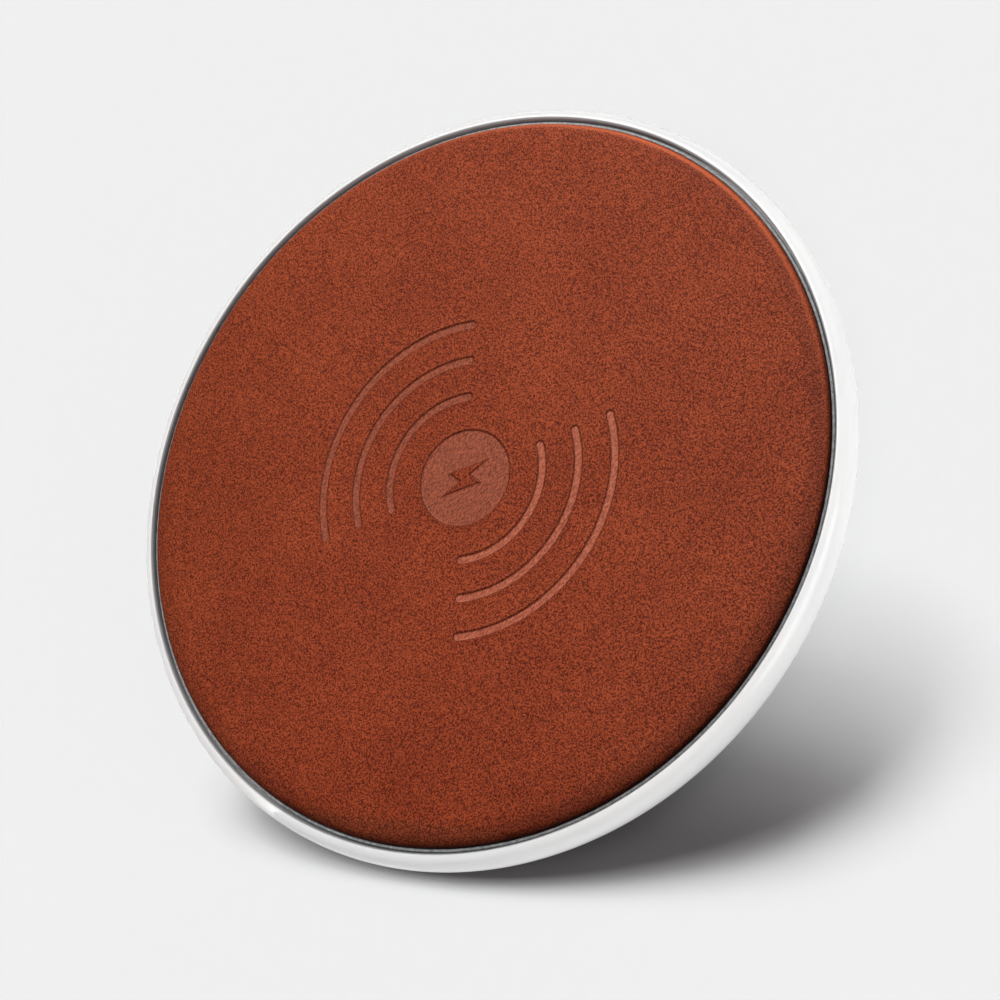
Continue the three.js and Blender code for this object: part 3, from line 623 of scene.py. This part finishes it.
def trim_material():
    look = Look("mottled_grey_trim", IOR=1.5)
    coarse = look.ramp(look.noise(1.5, 4, 0.7), 0.36, 0.66)
    grains = look.ramp(look.voronoi(3.2), 0.1, 0.6)
    colour = look.mix(coarse, srgb(116, 118, 120), srgb(186, 189, 190))
    colour = look.mix(look.math("MULTIPLY", grains, 0.35), colour, srgb(188, 190, 190))
    specks = look.ramp(look.noise(4.5, 2), 0.62, 0.72, 0, 0.6)
    colour = look.mix(specks, colour, srgb(78, 79, 82))
    height_mm = look.node("ShaderNodeSeparateXYZ")
    look.feed(height_mm.inputs[0], look.place)
    # Painted shade: the bead's lower, outer part is painted dark where it sinks into the gap by the
    # lip.
    painted_groove_shade = look.ramp(height_mm.outputs[2], BEAD_TOP_Z - 0.45, BEAD_TOP_Z - 0.15, 0.45, 0)
    colour = look.mix(painted_groove_shade, colour, srgb(52, 53, 55))
    roughness = look.ramp(look.noise(2.5, 3), 0.3, 0.7, 0.34, 0.55)
    height = look.math("ADD", coarse, look.math("MULTIPLY", grains, 0.4))
    return look.finish(colour, roughness, look.bump(height, 0.03, 0.8))


def rim_profile():
    upper = PAD_RADIUS - LIP_CREST_RADIUS
    lower = PAD_RADIUS - UNDERSIDE_RADIUS
    fillet = LIP_CREST_RADIUS - LIP_INNER_RADIUS
    under = arc((UNDERSIDE_RADIUS, WIDEST_Z), lower, WIDEST_Z - BASE_LOW[2], SEAM_ANGLE, 0, 20)
    crown = arc((LIP_CREST_RADIUS, WIDEST_Z), upper, LIP_TOP_Z - WIDEST_Z, 0, 90, 24)
    lip = arc((LIP_CREST_RADIUS, LIP_TOP_Z - fillet), fillet, fillet, 90, 180, 10)
    seam_z = under[0][1]
    seam_round = [(under[0][0] - 0.1, seam_z), (under[0][0] - 0.02, seam_z + 0.03)]
    return (
        [(0, DECK_BOTTOM_Z), (WALL_INNER_RADIUS, DECK_BOTTOM_Z), (WALL_INNER_RADIUS, seam_z)]
        + seam_round
        + under[1:]
        + crown[1:]
        + lip[1:]
        + [(LIP_INNER_RADIUS, DECK_TOP_Z), (0, DECK_TOP_Z)]
    )


def rim():
    obj = lathe("rim_gloss", rim_profile())
    port = rounded_rectangle(PORT["width"], PORT["bottom"], PORT["top"], PORT["corner"])
    start, end = WALL_INNER_RADIUS - 2 * CUT_PAST, PAD_RADIUS + CUT_PAST
    cut(obj, extruded("port_cutter", port, HALF_TURN / 2, start, end))
    hole = circle(PIPE["radius"] + PIPE_HOLE["gap"], PIPE["height"])
    direction = math.radians(PIPE["angle"])
    cut(obj, extruded("pipe_cutter", hole, direction, PIPE_HOLE["inner"], end))
    smooth(obj, 35)
    obj.data.materials.clear()
    obj.data.materials.append(white_gloss_material())
    return obj


def base():
    lower = PAD_RADIUS - UNDERSIDE_RADIUS
    drop = WIDEST_Z - BASE_LOW[2]
    under = arc((UNDERSIDE_RADIUS, WIDEST_Z), lower, drop, -90, SEAM_ANGLE, 18)
    seam = under.pop()
    seam_z = seam[1] - SEAM_GAP
    ease = (0.15, 0.12)
    groove = FOOT_GROOVE["top"]
    inner = FOOT_INNER_RADIUS - FOOT_GROOVE["clearance"]
    outer = FOOT_GROOVE["outer"] + FOOT_GROOVE["clearance"]
    spigot = WALL_INNER_RADIUS - BASE_WALL["gap"]
    wall_top, wall = BASE_WALL["top"], BASE_WALL["thickness"]
    profile = [
        (0, BASE_LOW[2]),
        (inner - ease[0], BASE_LOW[2]),
        (inner, BASE_LOW[2] + ease[1]),
        (inner, groove),
        (outer, groove),
        (outer, BASE_LOW[2] + ease[1]),
        (outer + ease[0], BASE_LOW[2]),
        *under,
        (seam[0] - 0.16, seam[1] - 0.14),
        (seam[0] - 0.3, seam_z),
        (spigot, seam_z),
        (spigot, wall_top),
        (spigot - wall, wall_top),
        (spigot - wall, BASE_FLOOR_Z),
        (0, BASE_FLOOR_Z),
    ]
    obj = smooth(lathe("base_moulding", profile), 35)
    obj.data.materials.append(white_matt_material())
    return obj


def trim():
    def wobble(radius, z, angle):
        p = Vector((radius * math.cos(angle), radius * math.sin(angle), z))
        return 0.02 * noise.noise(p * 0.9), 0.035 * noise.noise(p * 1.3) - 0.02

    inner, outer = BEAD_INNER_RADIUS, TRIM_HIGH[0]
    low, high = TRIM_LOW[2], BEAD_TOP_Z
    bevel, shoulder = 0.07, (0.13, 0.34)
    profile = [(inner, low), (outer, low), (outer, high - shoulder[1] - 0.05)]
    profile += arc((outer - shoulder[0], high - shoulder[1]), *shoulder, 0, 90, 6)
    profile += arc((inner + bevel, high - bevel), bevel, bevel, 90, 180, 4)
    obj = smooth(lathe("trim_bead", profile, 480, wobble), 60)
    obj.data.materials.append(trim_material())
    return obj


def foot():
    inner, outer = FOOT_INNER_RADIUS, FOOT_HIGH[0]
    high = FOOT_HIGH[2]
    corner = 0.3
    profile = arc((inner + corner, corner), corner, corner, 180, 270, 6)
    profile += arc((outer - corner, corner), corner, corner, 270, 360, 6)
    profile += [(outer, high), (inner, high)]
    obj = smooth(lathe("foot_pad", profile), 50)
    look = Look("foot_rubber", IOR=1.45)
    mottle = look.noise(0.9, 4, 0.7)
    colour = look.mix(look.ramp(mottle, 0.35, 0.7), srgb(52, 53, 56), srgb(70, 71, 74))
    dust = look.ramp(look.noise(3.5, 3), 0.62, 0.75, 0, 0.4)
    colour = look.mix(dust, colour, srgb(128, 127, 124))
    roughness = look.ramp(mottle, 0.3, 0.7, 0.72, 0.9)
    obj.data.materials.append(look.finish(colour, roughness, look.bump(mottle, 0.03, 0.6)))
    return obj


def pipe():
    """The light pipe: a rod with rounded ends that lies along a radius."""
    radius, round_end = PIPE["radius"], 0.18
    inner, outer = PIPE["inner"], PIPE["outer"]
    profile = [(0, inner), (radius - round_end, inner)]
    profile += arc((radius - round_end, inner + round_end), round_end, round_end, -90, 0, 4)[1:]
    profile += arc((radius - round_end, outer - round_end), round_end, round_end, 0, 90, 4)
    profile += [(0, outer + 0.05)]
    obj = smooth(lathe("light_rod", profile, 40), 60)
    lie_down = Matrix.Rotation(HALF_TURN / 2, 4, "Y")
    turn = Matrix.Rotation(math.radians(PIPE["angle"]), 4, "Z")
    obj.data.transform(Matrix.Translation((0, 0, PIPE["height"] * MM)) @ turn @ lie_down)
    look = Look("milky_light_pipe", Roughness=0.22, IOR=1.49, Transmission_Weight=0.35)
    cloud = look.ramp(look.noise(1.8, 3), 0.3, 0.7)
    colour = look.mix(cloud, srgb(226, 232, 234), srgb(242, 245, 246))
    obj.data.materials.append(look.finish(colour, None, look.bump(look.noise(4, 2), 0.008, 0.5)))
    return obj


# ---- finishes of the pieces that keep their CAD shape ----
def mottled(name, low, high, scale, rough, depth, stretch=(1, 1, 1), flecks=None, metallic=0.0):
    """Two tones broken up by a noise, with finer flecks of a third tone."""
    look = Look(name, Metallic=metallic)
    place = look.stretch(look.place, stretch)
    body = look.noise(scale, 4, 0.65, place)
    colour = look.mix(look.ramp(body, 0.32, 0.68), srgb(*low), srgb(*high))
    fine = look.noise(scale * 3.7, 3, 0.6, place)
    if flecks:
        colour = look.mix(look.ramp(fine, 0.58, 0.72, 0, 0.7), colour, srgb(*flecks))
    height = look.math("ADD", body, look.math("MULTIPLY", fine, 0.5))
    return look.finish(colour, look.ramp(fine, 0.3, 0.7, *rough), look.bump(height, depth, 0.8))


def litz_material():
    """Fine enamelled strands that wind round the run of the coil."""
    look = Look("copper_litz", Metallic=0.85)
    parts = look.node("ShaderNodeSeparateXYZ")
    look.feed(parts.inputs[0], look.place)
    x, y, z = parts.outputs
    across = [look.math("MULTIPLY", axis, axis) for axis in (x, y)]
    radius = look.math("SQRT", look.math("ADD", *across))
    angle = look.math("ARCTAN2", y, x)
    lay = look.math("ADD", look.math("MULTIPLY", radius, 42), look.math("MULTIPLY", angle, 90))
    strands = look.math("SINE", look.math("ADD", lay, look.math("MULTIPLY", z, 30)))
    worn = look.noise(2.2, 3)
    colour = look.mix(look.ramp(strands, -0.8, 0.8), srgb(112, 52, 24), srgb(206, 128, 78))
    colour = look.mix(look.ramp(worn, 0.55, 0.75, 0, 0.5), colour, srgb(232, 166, 116))
    return look.finish(colour, look.ramp(worn, 0.3, 0.7, 0.28, 0.45), look.bump(strands, 0.03, 0.9))


def circuit_board_material():
    """Green mask over copper tracks, with tinned vias."""
    look = Look("circuit_board", IOR=1.5)
    tracks = look.ramp(look.voronoi(0.42, "DISTANCE_TO_EDGE", 0.55), 0.05, 0.09, 1, 0)
    second = look.stretch(look.place, (1, 1, 1), turn=45)
    crossing = look.ramp(look.voronoi(0.3, "DISTANCE_TO_EDGE", 0.3, second), 0.03, 0.05, 1, 0)
    copper = look.math("MAXIMUM", tracks, crossing)
    via = look.voronoi(0.5, "F1", 0.8)
    colour = look.mix(look.ramp(look.noise(0.6, 3), 0.3, 0.7), srgb(18, 84, 48), srgb(26, 104, 60))
    colour = look.mix(copper, colour, srgb(52, 140, 84))
    colour = look.mix(look.ramp(via, 0.13, 0.15, 1, 0), colour, srgb(196, 196, 188))
    colour = look.mix(look.ramp(via, 0.06, 0.07, 1, 0), colour, srgb(20, 22, 20))
    rough = look.ramp(look.noise(4, 3), 0.3, 0.7, 0.28, 0.42)
    return look.finish(colour, rough, look.bump(copper, 0.035, 0.9))


def ribbon_material():
    """Amber film with two copper tracks inside it."""
    look = Look("polyimide_ribbon", IOR=1.5)
    parts = look.node("ShaderNodeSeparateXYZ")
    look.feed(parts.inputs[0], look.place)
    tracks = look.math("ABSOLUTE", look.math("SINE", look.math("MULTIPLY", parts.outputs[0], 5.2)))
    colour = look.mix(look.ramp(look.noise(1.5, 3), 0.3, 0.7), srgb(190, 124, 30), srgb(212, 150, 52))
    colour = look.mix(look.ramp(tracks, 0.75, 0.85, 0, 0.7), colour, srgb(128, 66, 30))
    rough = look.ramp(look.noise(6, 2), 0.3, 0.7, 0.2, 0.34)
    return look.finish(colour, rough, look.bump(tracks, 0.01, 0.7))


def foam_material():
    look = Look("closed_cell_foam", IOR=1.4)
    cells = look.voronoi(2.6)
    colour = look.mix(look.ramp(cells, 0.1, 0.6), srgb(26, 27, 29), srgb(52, 53, 56))
    dust = look.ramp(look.noise(5, 3), 0.6, 0.75, 0, 0.4)
    colour = look.mix(dust, colour, srgb(92, 92, 94))
    return look.finish(colour, look.ramp(cells, 0, 0.8, 0.98, 0.82), look.bump(cells, 0.12, 1))


def slot_materials():
    steel = {"metallic": 1.0}
    return {
        "backing_board": mottled("fibre_board", (58, 52, 46), (84, 77, 68), 0.8, (0.8, 0.95), 0.04,
                                 (1, 3, 1), (132, 122, 106)),
        "tape": mottled("adhesive_tape", (206, 198, 172), (224, 218, 196), 0.5, (0.5, 0.7), 0.02,
                        (1, 2, 1), (240, 236, 220)),
        "screw_steel": mottled("nickel_plate", (150, 151, 152), (188, 189, 190), 1.6, (0.22, 0.42),
                               0.012, (1, 1, 6), (118, 118, 120), **steel),
        "circuit_board": circuit_board_material(),
        "copper_litz": litz_material(),
        "ferrite": mottled("sintered_ferrite", (40, 41, 44), (62, 63, 67), 1.1, (0.55, 0.75), 0.03,
                           flecks=(96, 97, 101)),
        "foam": foam_material(),
        "chip_black": mottled("moulded_epoxy", (22, 23, 25), (38, 39, 41), 2.4, (0.42, 0.6), 0.015,
                              flecks=(66, 67, 69)),
        "capacitor_ceramic": mottled("capacitor_body", (168, 136, 92), (190, 158, 112), 1.4,
                                     (0.45, 0.62), 0.012, flecks=(206, 180, 140)),
        "sensor_epoxy": mottled("epoxy_bead", (30, 32, 38), (46, 49, 58), 1.2, (0.14, 0.26), 0.02,
                                flecks=(74, 78, 90)),
        "sensor_ribbon": ribbon_material(),
        "lamp": mottled("lamp_body", (232, 228, 196), (246, 243, 220), 1.3, (0.2, 0.35), 0.01,
                        flecks=(250, 214, 120)),
        "socket_steel": mottled("tinned_steel", (158, 160, 163), (196, 198, 201), 1.2, (0.2, 0.36),
                                0.01, (1, 0.15, 1), (124, 126, 130), **steel),
        "contact_gold": mottled("gold_flash", (206, 158, 62), (232, 188, 92), 3, (0.16, 0.3), 0.006,
                                (1, 0.3, 1), (176, 120, 48), **steel),
    }


EASED = {  # material slots whose nodes have their sharp edges eased, with the width in millimetres
    "chip_black": 0.12,
    "capacitor_ceramic": 0.15,
    "socket_steel": 0.08,
    "lamp": 0.1,
    "contact_gold": 0.03,
    "screw_steel": 0.05,
    "ferrite": 0.08,
}


def finish_cad_nodes(replaced):
    looks = slot_materials()
    slots = {row["node"]: row["material_slot"] for row in frame["record"]["subparts"]}
    for name, obj in frame["nodes"].items():
        if name in replaced:
            continue
        slot = slots[name]
        if not obj.data.materials:
            obj.data.materials.append(None)
        obj.material_slots[0].material = looks[slot]
        weld = obj.modifiers.new("weld", "WELD")
        weld.merge_threshold = 0.002 * MM
        if slot in EASED:
            bevel = obj.modifiers.new("eased_edges", "BEVEL")
            bevel.width = EASED[slot] * MM
            bevel.segments = 2
            bevel.limit_method = "ANGLE"
            bevel.angle_limit = math.radians(35)
            bevel.use_clamp_overlap = True


# ---- stage ----
FLOOR_ALBEDO = 0.1


def floor():
    size = 30
    corners = [(-size, -size, 0), (size, -size, 0), (size, size, 0), (-size, size, 0)]
    obj = new_object("studio_floor", corners, [(0, 1, 2, 3)])
    look = Look("studio_paper", Roughness=0.9)
    look.shader.inputs["Specular IOR Level"].default_value = 0.0
    tones = [(*([FLOOR_ALBEDO + d] * 3), 1) for d in (-0.0004, 0.0004)]
    colour = look.mix(look.ramp(look.noise(0.4, 3), 0.3, 0.7), *tones)
    obj.data.materials.append(look.finish(colour))
    obj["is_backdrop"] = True
    return obj


def backdrop():
    """A pale wall far behind everything, seen by the camera and lighting nothing."""
    steps, reach = 64, 3.2
    turns = [2 * HALF_TURN * i / steps for i in range(steps)]
    ring = [(math.cos(turn), math.sin(turn)) for turn in turns]
    rows = [(reach, -0.02), (reach, 1.2), (reach * 0.8, 2.3), (reach * 0.4, 3)]
    vertices = [(r * x, r * y, z) for r, z in rows for x, y in ring] + [(0, 0, reach)]
    faces = []
    for k in range(len(rows) - 1):
        for i in range(steps):
            j = (i + 1) % steps
            faces.append((k * steps + j, k * steps + i, (k + 1) * steps + i, (k + 1) * steps + j))
    top = (len(rows) - 1) * steps
    faces += [(top + (i + 1) % steps, top + i, len(vertices) - 1) for i in range(steps)]
    obj = new_object("studio_backdrop", vertices, faces)
    look = Look("studio_wall", Roughness=1.0, Emission_Strength=1.0)
    tones = (0.869, 0.869, 0.869, 1), (0.873, 0.873, 0.873, 1)
    glow = look.mix(look.noise(0.001, 2), *tones)
    look.feed(look.shader.inputs["Emission Color"], glow)
    look.shader.inputs["Base Color"].default_value = (0, 0, 0, 1)
    look.shader.inputs["Specular IOR Level"].default_value = 0.0
    obj.data.materials.append(look.material)
    obj.visible_diffuse = False
    obj.visible_glossy = False
    obj.visible_transmission = False
    obj.visible_shadow = False
    obj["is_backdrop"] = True
    return obj


FLAG = {"hinge": -62, "tilt": 44.5, "radius": 41.8, "touch": 50.8, "lift": 6}


def shadow_flag():
    """An unseen studio flag that shapes the shadow on the floor: a disc that leans on its edge."""
    hinge, tilt = math.radians(FLAG["hinge"]), math.radians(FLAG["tilt"])
    inward = Vector((-math.cos(hinge), -math.sin(hinge), 0)) * math.cos(tilt)
    inward.z = math.sin(tilt)
    along = Vector((-math.sin(hinge), math.cos(hinge), 0))
    radius = FLAG["radius"] * MM
    touch = Vector((math.cos(hinge), math.sin(hinge), 0)) * FLAG["touch"] * MM
    middle = touch + inward * radius + from_sky(MIDDLE_SUN, SUN_ELEVATION, FLAG["lift"] * MM)
    steps = 96
    turns = [2 * HALF_TURN * i / steps for i in range(steps)]
    ring = [middle + (inward * math.cos(t) + along * math.sin(t)) * radius for t in turns]
    obj = new_object("shadow_flag", ring, [tuple(range(steps))])
    obj.visible_camera = False
    obj.visible_glossy = False
    obj.visible_transmission = False
    obj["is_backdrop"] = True
    return obj


def aimed(location, target):
    direction = Vector(target) - Vector(location)
    return direction.to_track_quat("-Z", "Y").to_matrix().to_4x4()


def from_sky(azimuth, elevation, distance):
    a, e = math.radians(azimuth), math.radians(elevation)
    flat = math.cos(e) * distance
    return Vector((flat * math.cos(a), flat * math.sin(a), math.sin(e) * distance))


def soft_box(name, azimuth, elevation, distance, size, power, receivers):
    data = bpy.data.lights.new(name, "AREA")
    data.shape = "DISK"
    data.size = size
    data.energy = power
    obj = bpy.data.objects.new(name, data)
    bpy.context.scene.collection.objects.link(obj)
    location = from_sky(azimuth, elevation, distance)
    obj.matrix_world = Matrix.Translation(location) @ aimed(location, PAD_MIDDLE)
    obj.light_linking.receiver_collection = receivers
    return obj


def sun(name, azimuth, elevation, softness, strength, tint):
    data = bpy.data.lights.new(name, "SUN")
    data.angle = math.radians(softness)
    data.energy = strength
    data.color = tint
    obj = bpy.data.objects.new(name, data)
    bpy.context.scene.collection.objects.link(obj)
    obj.matrix_world = aimed(from_sky(azimuth, elevation, 1), (0, 0, 0))
    return obj


def camera():
    """Looks down on the leather from +X, rolled so that the power inlet points up and right."""
    location = Vector((176.1, 3.4, 264.5)) * MM
    aim = Vector((6.0, -0.9, 7.7)) * MM
    roll = math.radians(-56.8)
    data = bpy.data.cameras.new("camera")
    data.lens = 89.6
    data.sensor_width = 36
    data.clip_start = 0.01
    data.clip_end = 100
    obj = bpy.data.objects.new("camera", data)
    bpy.context.scene.collection.objects.link(obj)
    forward = (aim - location).normalized()
    level = forward.cross(Vector((0, 0, 1))).normalized()
    upright = level.cross(forward)
    right = level * math.cos(roll) + upright * math.sin(roll)
    up = right.cross(forward)
    turn = Matrix((right, up, -forward)).transposed()
    obj.matrix_world = Matrix.Translation(location) @ turn.to_4x4()
    bpy.context.scene.camera = obj


# ---- light levels ----
PAD_MIDDLE = (0, 0, 5 * MM)
WORLD = 0.12
FLOOR_TONE = 0.871
FLOOR_SKY_SHARE = 0.12
FLOOR_SKY = (FLOOR_TONE * FLOOR_SKY_SHARE / FLOOR_ALBEDO - WORLD) * math.pi
SUN_ELEVATION, SUN_SOFTNESS = 52.7, 12
FULL_SUN = FLOOR_TONE / FLOOR_ALBEDO * math.pi / math.sin(math.radians(SUN_ELEVATION))
MIDDLE_SUN = 162
FLOOR_SUNS = {145: 0.19, MIDDLE_SUN: 0.385, 179: 0.305}  # azimuth and share of the floor's light
SKY_TINT, SUN_TINT = (1.07, 0.97, 1.0), (0.994, 1.004, 1.003)
# Lights on the pad: name, azimuth, elevation, distance, size and power
LEATHER_LIGHTS = (
    ("leather_key", 122, 36, 0.5, 0.16, 2.6),
    ("leather_top", 60, 75, 0.6, 0.3, 1.0),
)
HOUSING_LIGHTS = (
    ("housing_key", 149, 54, 0.5, 0.35, 1.6),
    ("housing_fill", 18, 25, 0.6, 0.5, 2.15),
    ("housing_side", -92, 20, 0.6, 0.7, 0.4),
    ("housing_back", 250, 30, 0.6, 0.7, 0.72),
    ("housing_rear", 92, 14, 0.6, 0.5, 0.45),
)

# ---- assembly ----
camera()
stage_floor = floor()
backdrop()

REPLACED = {}
for piece, node, slot in (
    (leather_cover(), "leather_top", "leather"),
    (rim(), "rim_shell", "white_gloss"),
    (base(), "base_cover", "white_matt"),
    (trim(), "trim_ring", "trim_grey"),
    (foot(), "foot_ring", "foot_rubber"),
    (pipe(), "light_pipe", "light_window"),
):
    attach(piece, "root")
    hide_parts(node)
    REPLACED[node] = piece
cover = REPLACED["leather_top"]
finish_cad_nodes(REPLACED)


def gathered(name, objects):
    collection = bpy.data.collections.new(name)
    for obj in objects:
        collection.objects.link(obj)
    return collection


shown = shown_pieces()
flag = shadow_flag()
leather_only = gathered("lit_leather", [cover])
housing_only = gathered("lit_housing", [o for o in shown if o is not cover])
floor_only = gathered("lit_floor", [stage_floor])
flag_and_foot = gathered("floor_blockers", [flag, REPLACED["foot_ring"]])
unflagged = gathered("object_blockers", shown)

world = bpy.data.worlds.new("studio")
world.use_nodes = True
world.node_tree.nodes["Background"].inputs[0].default_value = (1, 1, 1, 1)
world.node_tree.nodes["Background"].inputs[1].default_value = WORLD
bpy.context.scene.world = world
bpy.context.scene.view_settings.view_transform = "Standard"

for azimuth, share in FLOOR_SUNS.items():
    strength = FULL_SUN * share
    light = sun(f"floor_sun_{azimuth}", azimuth, SUN_ELEVATION, SUN_SOFTNESS, strength, SUN_TINT)
    light.light_linking.receiver_collection = floor_only
    light.light_linking.blocker_collection = flag_and_foot
floor_sky = sun("floor_sky", 0, 90, 180, FLOOR_SKY, SKY_TINT)
floor_sky.light_linking.receiver_collection = floor_only
floor_sky.light_linking.blocker_collection = gathered("sky_blockers", [flag, *shown])
for lamp in [soft_box(*row, leather_only) for row in LEATHER_LIGHTS] + [
    soft_box(*row, housing_only) for row in HOUSING_LIGHTS
]:
    lamp.light_linking.blocker_collection = unflagged
